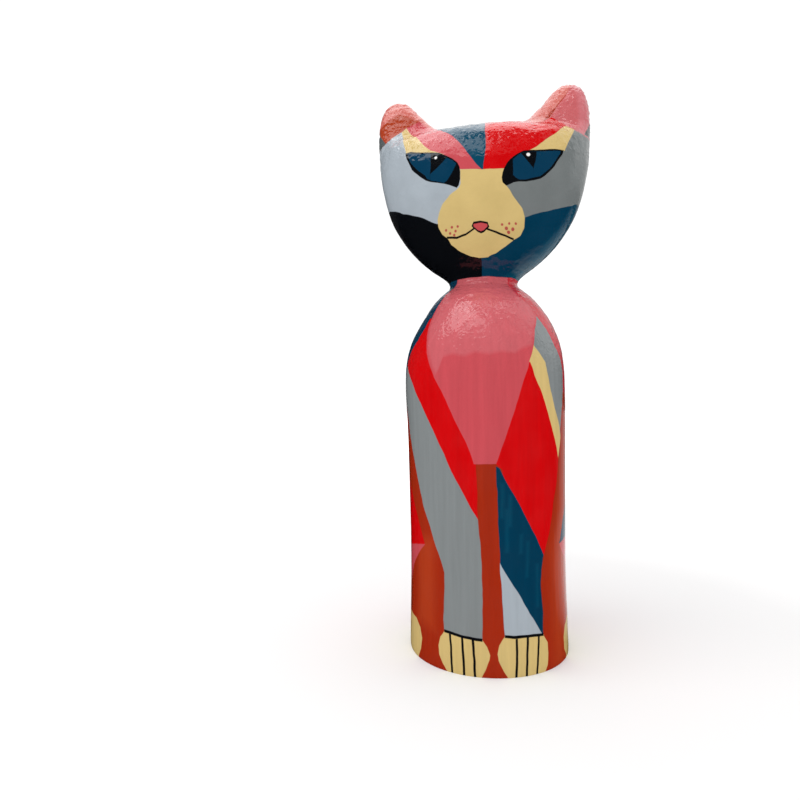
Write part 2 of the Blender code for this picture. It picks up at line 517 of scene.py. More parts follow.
# the paler coat with its painted sheen lies over this height, and stops short of the bib's edges by this much
SHEEN_FROM = 150.0
SHEEN_INSET = 1.7
COAT = [
    # where the rust is lighter at both sides of the legs: partly brushed on thinly, partly a painted sheen
    dict(
        colour="thin rust and sheen", edge=9, over=-10, under=150,
        right_of=[(0, 36), (60, 36), (110, 48), (140, 56)], left_of=80,
    ),
    dict(colour="thin rust and sheen", edge=8, over=20, under=66, right_of=-47, left_of=-33),
    # the back of the cat's right side
    dict(
        colour="blue", left_of=0,
        over=[
            (-138, 112), (-100, 119), (-72, 132), (-64, 141), (-58.5, 158), (-46.5, 176), (-38, 200),
            (-30, 207),
        ],
    ),
    # the back of its left side, and the rose edge that runs up to the neck
    dict(colour="rose", right_of=0, over=[(54, 143), (64, 134), (80, 124), (110, 116), (138, 112)]),
    dict(
        colour="rose", over=140,
        right_of=[
            (199, 27.5), (193, 29.1), (187.9, 35.1), (181.3, 39.3), (174.9, 41.6), (167.9, 45.6),
            (161.1, 52.6), (153.9, 54.6), (140, 58),
        ],
    ),
    # grey shoulder field
    dict(
        colour="mid grey", over=118, under=184, right_of=15,
        left_of=[
            (182.8, 34.5), (178.9, 37.1), (174.1, 41), (167.7, 43.6), (160.9, 49.6), (153.8, 51.7),
            (143.6, 51.1), (136.4, 49.7), (129.3, 46.9), (123, 45.7), (118, 45.9),
        ],
    ),
    # cream field beside it
    dict(
        colour="cream", over=108, under=167, right_of=15,
        left_of=[
            (166.5, 25.4), (162.8, 28.7), (158.1, 32.3), (151.2, 34), (143.6, 35.9), (134.5, 39.4),
            (124.5, 44.7), (118.7, 45.9), (115.2, 45.4), (108.3, 43),
        ],
    ),
    # red field down to the front leg
    dict(
        colour="red", over=59.4, under=158, right_of=[(104, 6), (107, 2.6)],
        left_of=[
            (157.9, 21.8), (151.1, 24.2), (145, 27.6), (137.4, 31.2), (129.7, 34.3), (121.3, 37.8),
            (114.1, 41.1), (108.3, 43), (101.7, 42.4), (94.1, 40.6), (86.5, 38.1), (76.7, 35.8),
            (66.4, 32.4), (59.4, 29.9),
        ],
    ),
    # red field of the other side, between the bib and the grey leg
    dict(
        colour="red", over=79, under=184,
        right_of=[(184.2, -45.1), (175.4, -46.7), (161.5, -57.9), (158, -59), (79.2, -11)],
        left_of=[(106.9, -7.3), (92.8, -6.9), (79.2, -6.7)],
    ),
    # pink bib
    dict(colour="pink", over=107.1, right_of=BIB_RIGHT_EDGE, left_of=BIB_LEFT_EDGE),
    # the paler upper part, partly a second coat and partly a painted sheen, which runs out in uneven brush
    # marks
    dict(
        colour="pale pink sheen", edge=2.2,
        over=[
            (-45, 150), (-31, 150), (-27.5, 155), (-24.5, 161.8), (-19, 163), (-12.5, 161.8), (-7, 163.4),
            (0.5, 162.2), (6, 163.6), (13.5, 162.9), (18, 165.3), (24, 167),
        ],
        right_of=[(height, across + SHEEN_INSET) for height, across in BIB_RIGHT_EDGE if height > SHEEN_FROM],
        left_of=[(height, across - SHEEN_INSET) for height, across in BIB_LEFT_EDGE if height > SHEEN_FROM],
    ),
]
body_colour = paint_colour("rust")
for field in COAT:
    body_colour = paint_field(BODY_CHART, body_colour, **field)
print("the coat has", len(COAT), "fields")

# %% [markdown]
# ## Legs, paws and haunches
# The legs aren't modelled: they are painted on the round body. A grey leg and a blue leg stand on cream
# front paws, whose cuffs and toes are thin black lines. The haunches show only as slivers at both sides of
# the picture, each with a knee that points forwards. Round the back they end in a rounded hip, and the rear
# paws lie below them.

# %% Legs, paws and haunches
CUFFS = [
    [(-26, 20.4), (-20.1, 19.9), (-14.4, 19.4), (-9, 19.1), (-5.4, 18.7)],
    [(5.9, 20.7), (10.5, 20.3), (16.1, 20.2), (22.2, 19.7), (28.1, 19.2)],
]
LEG_INNER_EDGE = [
    (105.7, 2.6), (96.6, 2.9), (81.6, 3.4), (69.6, 3.5), (57.6, 4.1), (44.1, 4.8), (32.9, 5.4),
    (21.3, 5.9),
]
RIGHT_KNEE_EDGE = [
    (25, -70), (36, -62), (48.3, -54.2), (51.4, -51.7), (56.8, -46.3), (62.3, -39.7), (71, -44.2),
    (79.2, -48.6), (88.2, -54.4), (96, -62), (104, -76), (108, -90),
]
LEFT_KNEE_EDGE = [
    (25, 74), (36, 66), (47, 58), (52.5, 53.9), (58.1, 47.4), (62.9, 44), (68.6, 46.8), (74.4, 49.7),
    (80, 55.3), (88, 60), (96, 66), (104, 78), (108, 90),
]
HIP_EDGE = [(25, 130), (40, 134), (70, 131), (92, 122), (104, 108), (108, 92)]
RIGHT_HIP_EDGE = [(height, -across) for height, across in HIP_EDGE]
RIGHT_KNEE = [(-95, 55.5), (-66, 57.2), (-52, 60.2), (-39.7, 62.5)]
LEFT_KNEE = [(44, 62.6), (61, 65.1), (90, 67)]
LEGS = [
    # grey leg
    dict(
        colour="mid grey", over=18,
        right_of=[
            (158.5, -59), (146.6, -63.2), (140.5, -65), (136, -61.5), (129.9, -58.1), (118.8, -55.2),
            (108.1, -49.8), (96.8, -45.8), (80.7, -39.4), (72.6, -35.2), (62.3, -30.9), (55.8, -27.5),
            (49.9, -25.8), (41.4, -25.7), (33.7, -26), (25.9, -26.3), (20.4, -26),
        ],
        left_of=[
            (158.5, -57.8), (148.4, -47.7), (138.9, -41), (129, -34.2), (120.7, -29.6), (111.2, -24.5),
            (102.8, -20.7), (94.7, -15.9), (86.6, -11.2), (79.2, -6.7), (71.7, -6.1), (64.9, -5.4),
            (55.2, -5.2), (44, -4.9), (32.7, -5.1), (19.6, -5.4),
        ],
        under=158.5,
    ),
    # blue leg, and the light triangle over its paw
    dict(
        colour="blue", over=18, under=105.7, right_of=LEG_INNER_EDGE,
        left_of=[
            (105.7, 3), (104.8, 4.5), (99.5, 7.1), (91.1, 11.7), (83.3, 16.5), (75.4, 20.7), (67.3, 25.3),
            (59.5, 29.6), (56.2, 28.7), (51.8, 27.6), (45.7, 27.1), (38, 27.5), (30.3, 28), (19.7, 27.9),
        ],
    ),
    dict(
        colour="light grey", over=18, under=57.4, right_of=LEG_INNER_EDGE,
        left_of=[(57.4, 4.1), (49.2, 8.7), (40.6, 14.1), (30.9, 19.9), (19.9, 27.1)],
    ),
    # haunches: the upper and the lower half of each
    dict(colour="red", over=RIGHT_KNEE, under=108, left_of=RIGHT_KNEE_EDGE, right_of=RIGHT_HIP_EDGE),
    dict(colour="pink", over=25, under=RIGHT_KNEE, left_of=RIGHT_KNEE_EDGE, right_of=RIGHT_HIP_EDGE),
    dict(colour="blue", over=LEFT_KNEE, under=108, right_of=LEFT_KNEE_EDGE, left_of=HIP_EDGE),
    dict(colour="pink", over=25, under=LEFT_KNEE, right_of=LEFT_KNEE_EDGE, left_of=HIP_EDGE),
    # front paws
    dict(
        colour="cream", under=CUFFS[0],
        right_of=[(20.2, -26), (17, -28.2), (12, -29.4), (7.5, -29), (3.5, -26.8), (0, -24)],
        left_of=[(18.7, -5.4), (15.7, -3.1), (11.3, -1.6), (9, -1.8), (4.5, -3.6), (0, -5.8)],
    ),
    dict(
        colour="cream", under=CUFFS[1],
        right_of=[(20.6, 5.9), (16.6, 3.2), (12.1, 2.2), (9.1, 2.7), (3.9, 4.9), (0, 7.3)],
        left_of=[(18.4, 28.3), (14.5, 30.6), (9.1, 31), (3.2, 30.2), (0, 28.8)],
    ),
    # rear paws
    dict(
        colour="cream", under=[(-95, 0), (-93, 8), (-85, 17), (-70, 21), (-49, 20.5)],
        left_of=[(20.9, -55.4), (20.4, -49.6), (16.7, -44.8), (11.8, -42.8), (5.8, -43.9), (0.8, -46.6)],
        right_of=-95,
    ),
    dict(
        colour="cream", under=[(50, 20.5), (70, 21), (85, 17), (93, 8), (95, 0)],
        right_of=[(21.1, 56.7), (18.2, 49.7), (12.7, 47), (6.3, 47.4), (2.4, 50.3)], left_of=95,
    ),
]
for field in LEGS:
    body_colour = paint_field(BODY_CHART, body_colour, **field)
# soft streaks on the blue leg, where the brush ran dry: their foot, their top, their place and their lean
DRY_STREAKS = [(80, 97, 5.4), (63, 84, 7.6), (76, 91, 9.4), (62, 71, 15), (50, 67, 18.8), (34, 55, 24.6)]
DRY_LEAN = 0.4
for low, high, across in DRY_STREAKS:
    run = ("up", [(low, across), (high, across + DRY_LEAN)])
    body_colour = paint_field(
        BODY_CHART, body_colour, "brushed blue", stroke=run, edge=2.4, over=low, under=high
    )
print("legs, haunches and paws have", len(LEGS), "fields")

# %% [markdown]
# ## Cuffs, toes and tail
# The black lines are strokes of a fine brush: one over each front paw, and three down every paw for its
# toes. The tail is painted too. It comes from the foot of the spine and lies round the cat's left side,
# black with a cream tip.

# %% Cuffs, toes and tail
CUFF_WIDTH = 1.5
TOE_WIDTH = 1.25
# front and rear paws: how high their toe lines start, and each line's place there and at the foot
TOES = [
    (19.5, [(-22.4, -21.2), (-15.7, -14.7), (-10, -9.2), (12.2, 11.6), (18, 17), (24.8, 23.3)]),
    (15, [(-68, -66), (-75, -72.5), (-82, -79), (64, 62), (71, 68.5), (78, 75)]),
]
for cuff in CUFFS:
    body_colour = paint_line(BODY_CHART, body_colour, cuff, CUFF_WIDTH)
for start, lines in TOES:
    for above, below in lines:
        toe = ("up", [(1, below), (start, above)])
        body_colour = paint_field(
            BODY_CHART, body_colour, "black", stroke=toe, size=TOE_WIDTH, under=start, over=-1
        )
TAIL_TIP = 106
TAIL_TOP = [
    (98, 15.5), (99, 18), (104, 20.5), (112, 22.5), (122, 26), (128, 33), (131, 46), (132.5, 62),
    (135, 69), (138.2, 72),
]
TAIL_FOOT = [(98, 14.5), (99, 12), (104, 9), (115, 7), (130, 7), (138.2, 8.5)]
TAIL = [
    dict(colour="black", right_of=98, under=TAIL_TOP, over=TAIL_FOOT),
    dict(colour="cream", right_of=98, left_of=TAIL_TIP, under=TAIL_TOP, over=TAIL_FOOT),
    dict(
        colour="black", left_of=-130,
        under=[(-138.2, 72), (-135, 69), (-132.5, 62), (-131, 46), (-130, 33)],
        over=[(-138.2, 8.5), (-133, 12), (-130, 20)],
    ),
]
for field in TAIL:
    body_colour = paint_field(BODY_CHART, body_colour, **field)
print("cuffs, toes and tail are on; the paint has", len(tree.nodes), "nodes")

# %% [markdown]
# ## The face's broad fields
# The head is black on one side and blue on the other up to the cheeks, which are two greys. Above them
# come the forehead's pink, blue and red, and the ears. The forehead and the ears keep their colours over
# the crown and down the back of the head.

# %% The face's broad fields
MIDLINE = 0.3
LEFT_CHEEK = [
    (-61, 253), (-52.3, 247.9), (-43.1, 242.3), (-35, 238.8), (-28.5, 235.6), (-22.6, 232.5), (0.3, 224),
]
RIGHT_CHEEK = [
    (0.3, 224), (23.3, 232.9), (29.4, 234.8), (36.8, 237.2), (42.9, 239.8), (47.7, 242.1), (52.2, 244.7),
    (61, 250),
]
LEFT_EAR_LINE = [(-61, 283.5), (-58.1, 284.4), (-53.8, 286.4), (-44.2, 291.4), (-41.7, 293.8)]
BROW = [
    (-62, 330), (-44, 300), (-41.7, 293.8), (-34.9, 283.1), (-28.6, 273.7), (-24.9, 269.8), (-21.1, 267.9),
    (-18.6, 266.7), (-12.9, 262.6), (-8.9, 257), (-3.5, 256.4), (1.8, 255.5), (7.8, 255.3), (13.1, 255.6),
    (18, 261.7), (24.7, 264.4), (29.6, 267.7), (36.9, 274.1), (40.8, 277.8), (45.5, 284.7), (48, 300),
    (62, 330),
]
RIGHT_EAR_LINE = [
    (18, 300), (24, 291), (30, 288.3), (34, 289.3), (38.2, 291.7), (41.7, 288.5), (45.5, 284.7),
    (49.7, 281.3), (54.7, 280.2), (62, 281),
]
EAR_CREASE = [(291.7, 38.2), (297.6, 41.3), (303.1, 45.6), (312, 50)]
EAR_FOLD_SHADE = [(290.5, 34.2), (297.6, 40.5), (303.1, 45.1), (307, 47.3)]
FACE = [
    dict(colour="blue", right_of=MIDLINE),
    # where the blue is lighter, towards the cheek and the neck: partly brushed on thinly, partly a painted
    # sheen
    dict(
        colour="thin blue and sheen", edge=9,
        right_of=[(206, 14), (209, 19), (213, 26), (219, 33), (226, 40), (234, 47.5), (242, 51.5), (250, 54)],
    ),
    dict(colour="light grey", left_of=MIDLINE, over=LEFT_CHEEK),
    dict(colour="cheek grey", right_of=MIDLINE, over=RIGHT_CHEEK),
    # the pale lids beside the brow
    dict(
        colour="cream", front=True, right_of=[(271.8, -38.6), (282.6, -41.7), (291.3, -44.2)],
        left_of=-15, over=[(-38.6, 271.7), (-18, 265.5)],
        under=[(-45.9, 290.7), (-44.2, 291.4), (-41.7, 293.8), (-38, 297)],
    ),
    dict(
        colour="cream", front=True, right_of=20, left_of=[(267.4, 43.8), (273.3, 46.5), (281.3, 49.7)],
        over=[(24, 264.2), (43.8, 267.2)], under=[(45.5, 284.7), (49.7, 281.3)],
    ),
    # the forehead: pink first
    dict(colour="pink", over=BROW),
    # the left ear: its rust side, the dark sliver at its edge and its pale top
    dict(
        colour="ear rust", over=LEFT_EAR_LINE,
        left_of=[(293.8, -41.7), (296, -37.5), (298.3, -33), (301, -31.5)],
    ),
    dict(
        colour="dark grey", over=LEFT_EAR_LINE, left_of=[(286.3, -53.6), (294.9, -59.3), (300, -62)],
        under=300,
    ),
    dict(
        colour="salmon", edge=1.6,
        over=[
            (-62, 295), (-57, 297.5), (-52, 300.5), (-45.5, 303), (-41, 301), (-37, 298.8), (-32.5, 297.2),
            (-30, 294.4), (-22, 292),
        ],
        left_of=-22,
    ),
    # the forehead's blue and red
    dict(
        colour="brushed blue", over=BROW,
        right_of=[
            (255.5, 2.2), (257.7, 0.1), (262.8, -3.5), (269.6, -7.9), (275.6, -12.7), (279.6, -16.9),
            (283.4, -21.3), (296, -26),
        ],
    ),
    dict(
        colour="red", over=BROW,
        right_of=[(255.6, 2.9), (260.7, 3.3), (267.5, 3.9), (273.2, 4), (289.9, 2.8), (297, 2.6)],
    ),
    # the right ear: its pink side, its pale top and the dark sliver at its edge
    dict(colour="dusky pink", over=RIGHT_EAR_LINE, right_of=18),
    dict(
        colour="ear pink", edge=2, over=RIGHT_EAR_LINE,
        right_of=[(281, 51.5), (292, 53), (303, 52), (312, 51)],
    ),
    dict(colour="salmon", over=RIGHT_EAR_LINE, right_of=18, left_of=EAR_CREASE),
    dict(colour="dark grey", over=281, right_of=[(280.3, 54.8), (289.2, 58.9), (296, 61.5)]),
    # the red-brown line in the fold between its two sides, wide at its foot, with the fold's shade painted
    # into it
    dict(colour="rust", edge=0.6, over=RIGHT_EAR_LINE, under=306, right_of=EAR_FOLD_SHADE, left_of=EAR_CREASE),
]
head_colour = paint_colour("black")
for field in FACE:
    head_colour = paint_field(HEAD_CHART, head_colour, **field)
print("the face has", len(FACE), "broad fields")

# %% [markdown]
# ## Muzzle, eyes, nose and mouth
# The muzzle is one cream pear shape between the eyes. Each eye is a black almond with a dark blue iris, a
# black slit and one white glint, drawn with its upper lid slanting down to the nose, which gives the cat
# its stern look. The nose is outlined, and six dull red dots on each side are the whiskers' roots.

# %% Muzzle, eyes, nose and mouth
LEFT_IRIS = dict(
    under=[
        (-37.7, 271.5), (-31.2, 269.5), (-24.1, 267.5), (-19.7, 265.9), (-16.3, 264.1), (-12.9, 262),
        (-10.9, 260),
    ],
    over=[
        (-37.5, 270.9), (-37.2, 268.6), (-35.6, 265.6), (-33.7, 263.1), (-31.2, 260.1), (-27.8, 256.9),
        (-26.6, 254.9), (-24.2, 253.3), (-20.8, 252.2), (-17.6, 251.3), (-16.1, 252.2), (-13.4, 255.6),
        (-10.9, 260),
    ],
)
RIGHT_IRIS = dict(
    under=[(17.6, 260.2), (20.2, 262.3), (21.8, 263.4), (29.4, 264.8), (36, 265.6), (41.4, 266.4)],
    over=[
        (17.5, 252.3), (18.9, 250.9), (20.7, 249.9), (24, 250.3), (27.5, 251.3), (31.1, 252.5),
        (33.5, 254.4), (35.5, 256.2), (37.4, 258.8), (39.4, 261.8), (41.4, 265.1),
    ],
)
FEATURES = [
    # muzzle
    dict(
        colour="cream",
        right_of=[
            (256.9, -8.9), (249.2, -8.8), (247.3, -10.1), (245.1, -14.6), (241, -18.6), (236.8, -21.1),
            (233.7, -22.1), (230.4, -21.6), (226.9, -19.6), (224.6, -16.7), (221.9, -15.4), (218.4, -11.1),
            (215.9, -5.2), (215.1, 0),
        ],
        left_of=[
            (255.4, 13.1), (250.4, 12.8), (246.6, 14.3), (242.3, 17.4), (237, 21.6), (232.9, 23.1),
            (227.9, 22.9), (224.3, 20.8), (222.6, 17.8), (219.7, 13.4), (216.7, 8.2), (215.1, 3),
        ],
        over=215.1, under=[(-8.9, 257), (-3.5, 256.4), (1.8, 255.5), (7.8, 255.3), (13.1, 255.6)],
    ),
    # left eye
    dict(
        colour="black", right_of=-39.4, left_of=-8.9,
        under=[
            (-39, 272.2), (-36.7, 272.1), (-28.8, 269.6), (-22.7, 268.1), (-20, 267.3), (-17, 265.6),
            (-12.9, 262.9), (-10.3, 260.5), (-9.2, 258.4), (-8.9, 255.9),
        ],
        over=[
            (-39, 272.2), (-38.7, 269.5), (-37.5, 267), (-36.3, 264.5), (-35.2, 261.9), (-32.9, 259.3),
            (-30.5, 256.8), (-27.5, 254.3), (-24.7, 252.8), (-22, 251.9), (-17.5, 250.8), (-14.6, 249.7),
            (-12.2, 248.4), (-10.9, 247.7), (-9.8, 248.8), (-8.9, 252),
        ],
    ),
    dict(colour="iris blue", right_of=-38.1, left_of=-10.9, **LEFT_IRIS),
    dict(
        colour="black", right_of=[(267.6, -24.3), (262.3, -24.6), (256.9, -24.9)],
        left_of=[(256.6, -25.2), (257.3, -24.1), (259.9, -20.4), (263.5, -16.3), (265.5, -14.5)],
        **LEFT_IRIS,
    ),
    dict(colour="white", dot=(-21.6, 264.8), size=0.75),
    # right eye
    dict(
        colour="black", right_of=11.9, left_of=43.4,
        under=[
            (11.9, 251.1), (12.4, 253.7), (13.1, 255.7), (14.5, 258.3), (16, 260.2), (17.8, 261.6),
            (20.2, 263.2), (23, 264.7), (26.6, 265.3), (30.1, 265.8), (34.8, 266.4), (39.7, 267),
            (43.3, 267.3),
        ],
        over=[
            (11.9, 251.1), (12.2, 248.8), (14, 246.9), (15.1, 247.3), (17.7, 248.5), (20.5, 249),
            (24, 249.3), (27.5, 250), (31.1, 251.2), (33.5, 252.8), (35.4, 254.6), (38.2, 258),
            (39.9, 260.9), (42.6, 264.8), (43.3, 267.3),
        ],
    ),
    dict(colour="iris blue", right_of=17.5, left_of=41.5, **RIGHT_IRIS),
    dict(
        colour="black", right_of=[(263.4, 21.4), (260.2, 24.1), (256.1, 27.7)],
        left_of=[(255.3, 27.4), (256.1, 27.8), (259.7, 28.8), (265.5, 29.4)],
        **RIGHT_IRIS,
    ),
    dict(colour="white", dot=(25.2, 262.7), size=0.9),
]
NOSE = dict(
    right_of=-3.9,
    left_of=5.1,
    under=[(-3.9, 229.6), (-2.9, 231.2), (0.9, 231.4), (4.4, 230.6), (5.1, 228.4)],
    over=[(-3.9, 229.2), (-0.9, 226.4), (0.6, 225.7), (2.3, 226.2), (5.1, 228.4)],
)
NOSE_OUTLINE = 0.95
MOUTH = [
    [(-17.4, 225.3), (-12, 224.7), (-7.5, 225.7), (-2.4, 228.4)],
    [(3.2, 227.9), (10, 225.1), (17.5, 222.7)],
]
MOUTH_WIDTH = 1.0
WHISKER_ROOTS = [
    (-17.5, 228.6), (-14.3, 229.5), (-11.3, 229.6), (-12.5, 227.7), (-15.4, 227), (-13.3, 226),
    (11.4, 229.2), (15.1, 229.8), (18.7, 229.7), (13.6, 227.6), (17, 227.2), (14.7, 225.8),
]
# the brush was pressed harder for the lower three of the right side
LIGHT_DOT = 0.62
PRESSED_DOT = 0.85
for field in FEATURES:
    head_colour = paint_field(HEAD_CHART, head_colour, front=True, **field)
for line in MOUTH:
    head_colour = paint_line(HEAD_CHART, head_colour, line, MOUTH_WIDTH, front=True)
head_colour = paint_field(HEAD_CHART, head_colour, "black", front=True, **NOSE)
inner_nose = dict(
    right_of=NOSE["right_of"] + NOSE_OUTLINE,
    left_of=NOSE["left_of"] - NOSE_OUTLINE,
    under=[(across, height - NOSE_OUTLINE) for across, height in NOSE["under"]],
    over=[(across, height + NOSE_OUTLINE) for across, height in NOSE["over"]],
)
head_colour = paint_field(HEAD_CHART, head_colour, "nose pink", front=True, **inner_nose)
for root in WHISKER_ROOTS:
    size = PRESSED_DOT if root in WHISKER_ROOTS[9:] else LIGHT_DOT
    head_colour = paint_field(HEAD_CHART, head_colour, "dot red", front=True, dot=root, size=size)
print("the face is painted; the paint has", len(tree.nodes), "nodes")

# %% [markdown]
# ## Brush marks and varnish
# Acrylic paint dries to a tough plastic film. Brushed on twice it still shows faint streaks, which follow
# the length of the body and run all ways on the head. The gloss varnish over it has the usual refraction
# of 1.5 and reads as wet where the paper is taut, and a little duller where it soaked in. Some relief is
# finer than the mesh, so it is a bump, given as a height in mm: the grain that is left in the surface, the
# ridges that the brush leaves along the body, which draw its shine out lengthways, and the flat gathers
# that run round the neck, where the paper is pulled in tight.

# %% Brush marks and varnish
STREAK_WIDTH = 2.5
STREAK_LENGTH = 45.0
BRUSH_RIDGE = 0.12
BLOTCH = 12.0
MARK_SHADES = (0.94, 1.06)
VARNISH_ROUGHNESS = (0.08, 0.16)
VARNISH_REFRACTION = 1.5
GRAIN = 2.0
# how high the grain stands, in mm, at each height over the underside
GRAIN_HEIGHTS = [(145, 0.01), (165, 0.32), (190, 0.32), (212, 0.1), (262, 0.1), (274, 0.4), (300, 0.5)]
# how many waves the neck's gathers have in a mm, across and up
GATHERS = (0.16, 0.16, 0.55)
# the height that they lie round, and how far from it they begin to fade and are gone
GATHER_HEIGHT = NECK_HEIGHT - 3.0
GATHER_FADE = (2.0, 14.0)
lengthways = (1.0 / STREAK_WIDTH, 1.0 / STREAK_WIDTH, 1.0 / STREAK_LENGTH)
streak_place = add_node(tree, "VectorMath", {0: in_mm, 1: lengthways}, operation="MULTIPLY")
streaks = add_node(tree, "TexNoise", {"Vector": streak_place, "Scale": 1.0, "Detail": 2.0}).outputs["Fac"]
blotches = add_node(tree, "TexNoise", {"Vector": in_mm, "Scale": 1.0 / BLOTCH, "Detail": 3.0}).outputs["Fac"]
over_neck = {0: up, 1: 1.0 / EDGE_WIDTH, 2: 0.5 - NECK_HEIGHT / EDGE_WIDTH}
on_head = add_node(tree, "Math", over_neck, operation="MULTIPLY_ADD", use_clamp=True)
all_over = add_node(tree, "Mix", {0: on_head, 6: body_colour, 7: head_colour}, data_type="RGBA").outputs[2]
marks = add_node(tree, "Mix", {0: on_head, 2: streaks, 3: blotches})
shade = add_node(tree, "MapRange", {"Value": marks, 1: 0.25, 2: 0.75, 3: MARK_SHADES[0], 4: MARK_SHADES[1]})
marked = add_node(tree, "VectorMath", {0: all_over, "Scale": shade}, operation="SCALE")
gloss = add_node(
    tree, "MapRange", {"Value": blotches, 1: 0.3, 2: 0.7, 3: VARNISH_ROUGHNESS[0], 4: VARNISH_ROUGHNESS[1]}
)
grain = add_node(
    tree,
    "TexNoise",
    {"Vector": in_mm, "Scale": 1.0 / GRAIN, "Detail": 2.0},
    noise_type="RIDGED_MULTIFRACTAL",
).outputs["Fac"]
relief = add_node(tree, "Math", {0: grain, 1: bent_line(up, GRAIN_HEIGHTS)}, operation="MULTIPLY")
gather_place = add_node(tree, "VectorMath", {0: in_mm, 1: GATHERS}, operation="MULTIPLY")
gathers = add_node(tree, "TexNoise", {"Vector": gather_place, "Scale": 1.0, "Detail": 1.0}).outputs["Fac"]
from_neck = add_node(tree, "Math", {0: up, 1: GATHER_HEIGHT}, operation="SUBTRACT")
from_neck = add_node(tree, "Math", {0: from_neck}, operation="ABSOLUTE")
gathered = add_node(
    tree, "MapRange", {"Value": from_neck, 1: GATHER_FADE[0], 2: GATHER_FADE[1], 3: 1.0, 4: 0.0}
)
# neither the gathers nor the ridges go on over the head
gathered = add_node(tree, "Mix", {0: on_head, 2: gathered, 3: 0.0})
ridged = add_node(tree, "Mix", {0: on_head, 2: BRUSH_RIDGE, 3: 0.0})
relief = add_node(tree, "Math", {0: gathers, 1: gathered, 2: relief}, operation="MULTIPLY_ADD")
relief = add_node(tree, "Math", {0: streaks, 1: ridged, 2: relief}, operation="MULTIPLY_ADD")
bump = add_node(tree, "Bump", {"Height": relief, "Strength": 1.0, "Distance": MM})
varnish = add_node(
    tree,
    "BsdfPrincipled",
    {"Base Color": marked, "Roughness": gloss, "Normal": bump, "IOR": VARNISH_REFRACTION},
)
add_node(tree, "OutputMaterial", {"Surface": varnish})
cat.data.materials.clear()
cat.data.materials.append(paint)
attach(cat, "root")
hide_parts("papier_mache_cat")
print("paint finished with", len(tree.nodes), "nodes")

# %% [markdown]
# ## What the varnish mirrors
# The paint is lit evenly from all sides, as under a white tent. What the varnish mirrors is less even: a
# dim room in front and on the left, a ceiling with a few pale patches, and bright air overhead and behind.
# That air makes the crown and the tops of the ears pale, the patches catch the wrinkles under it, and the
# dim front keeps the darks of the face deep. Low down and on the right that air is a third as bright.

# %% What the varnish mirrors
DIM_ROOM = 0.02
CEILING = (0.55, 0.65)
PATCHES = 5.0
PATCH_EDGE = (0.52, 0.58)
PALE_PATCH = 0.4
SIDE_AIR = 0.75
OVERHEAD_AIR = 1.7
# a direction is one long, and these are parts of that: where each side of the room begins and is full
RIGHT = (-0.2, 0.05)
BACK = (0.1, 0.2)
LOW = (0.05, 0.35)
HIGH = (0.45, 0.95)
# the overhead air ends on the right, between these
MIDDLE = (0.35, 0.5)
# how much further the right side and the back reach for each share that a direction points up
RIGHT_LEAN = 0.5
BACK_LEAN = 0.35


def from_the_right(tree, side, height):
    """How far a direction is out of the dim left side, from 0 to 1; higher ones reach further left."""
    leaning = add_node(tree, "Math", {0: height, 1: RIGHT_LEAN, 2: side}, operation="MULTIPLY_ADD")
    return add_node(tree, "MapRange", {"Value": leaning, 1: RIGHT[0], 2: RIGHT[1]})


def mirrored_tone(tree, direction):
    """How bright the varnish finds the room in a direction."""
    side, depth, height = add_node(tree, "SeparateXYZ", {0: direction}).outputs
    leaning = add_node(tree, "Math", {0: height, 1: BACK_LEAN, 2: depth}, operation="MULTIPLY_ADD")
    back = add_node(tree, "MapRange", {"Value": leaning, 1: BACK[0], 2: BACK[1]})
    right = from_the_right(tree, side, height)
    share = add_node(tree, "Math", {0: back, 1: right}, operation="MULTIPLY")
    low_air = add_node(tree, "MapRange", {"Value": height, 1: LOW[0], 2: LOW[1], 4: SIDE_AIR})
    middle = {"Value": side, 1: MIDDLE[0], 2: MIDDLE[1], 3: OVERHEAD_AIR, 4: 0.0}
    in_the_middle = add_node(tree, "MapRange", middle)
    above = {"Value": height, 1: HIGH[0], 2: HIGH[1], 4: in_the_middle}
    high_air = add_node(tree, "MapRange", above)
    air_tone = add_node(tree, "Math", {0: low_air, 1: high_air}, operation="ADD")
    bright = add_node(tree, "Math", {0: share, 1: air_tone}, operation="MULTIPLY")
    noise = add_node(tree, "TexNoise", {"Vector": direction, "Scale": PATCHES, "Detail": 1.0})
    mottle = {"Value": noise.outputs["Fac"], 1: PATCH_EDGE[0], 2: PATCH_EDGE[1], 3: DIM_ROOM, 4: PALE_PATCH}
    patches = add_node(tree, "MapRange", mottle)
    overhead = add_node(tree, "MapRange", {"Value": height, 1: CEILING[0], 2: CEILING[1]})
    ceiling = add_node(tree, "Mix", {0: overhead, 2: DIM_ROOM, 3: patches})
    return add_node(tree, "Math", {0: bright, 1: ceiling}, operation="MAXIMUM")


print("mirrored air", SIDE_AIR, "to", OVERHEAD_AIR, "patches", PALE_PATCH, "and room", DIM_ROOM)

# %% [markdown]
# ## The floor
# A wide white card. The picture's ground is blown out, so the card fades to white with its distance and
# has no horizon. Light Path tells which ray asks for its colour: the camera sees white, soft light bounces
# off it as off a white card, and the varnish mirrors only its lit part behind the cat and on the right.

# %% The floor
FLOOR_SIZE = 12.0
WHITE_CARD = 0.95
# distances from the cat in m: where the card begins and ends to fade, and where its mirrored tone changes
FADE = (0.2, 1.2)
TONE_CHANGE = (0.2, 0.45)
# what the varnish mirrors near the cat and further off: the card's tone, and how far a direction has to
# point back for it to begin
MIRRORED_CARD = (0.95, 0.45)
MIRRORED_FROM = (0.0, 0.4)
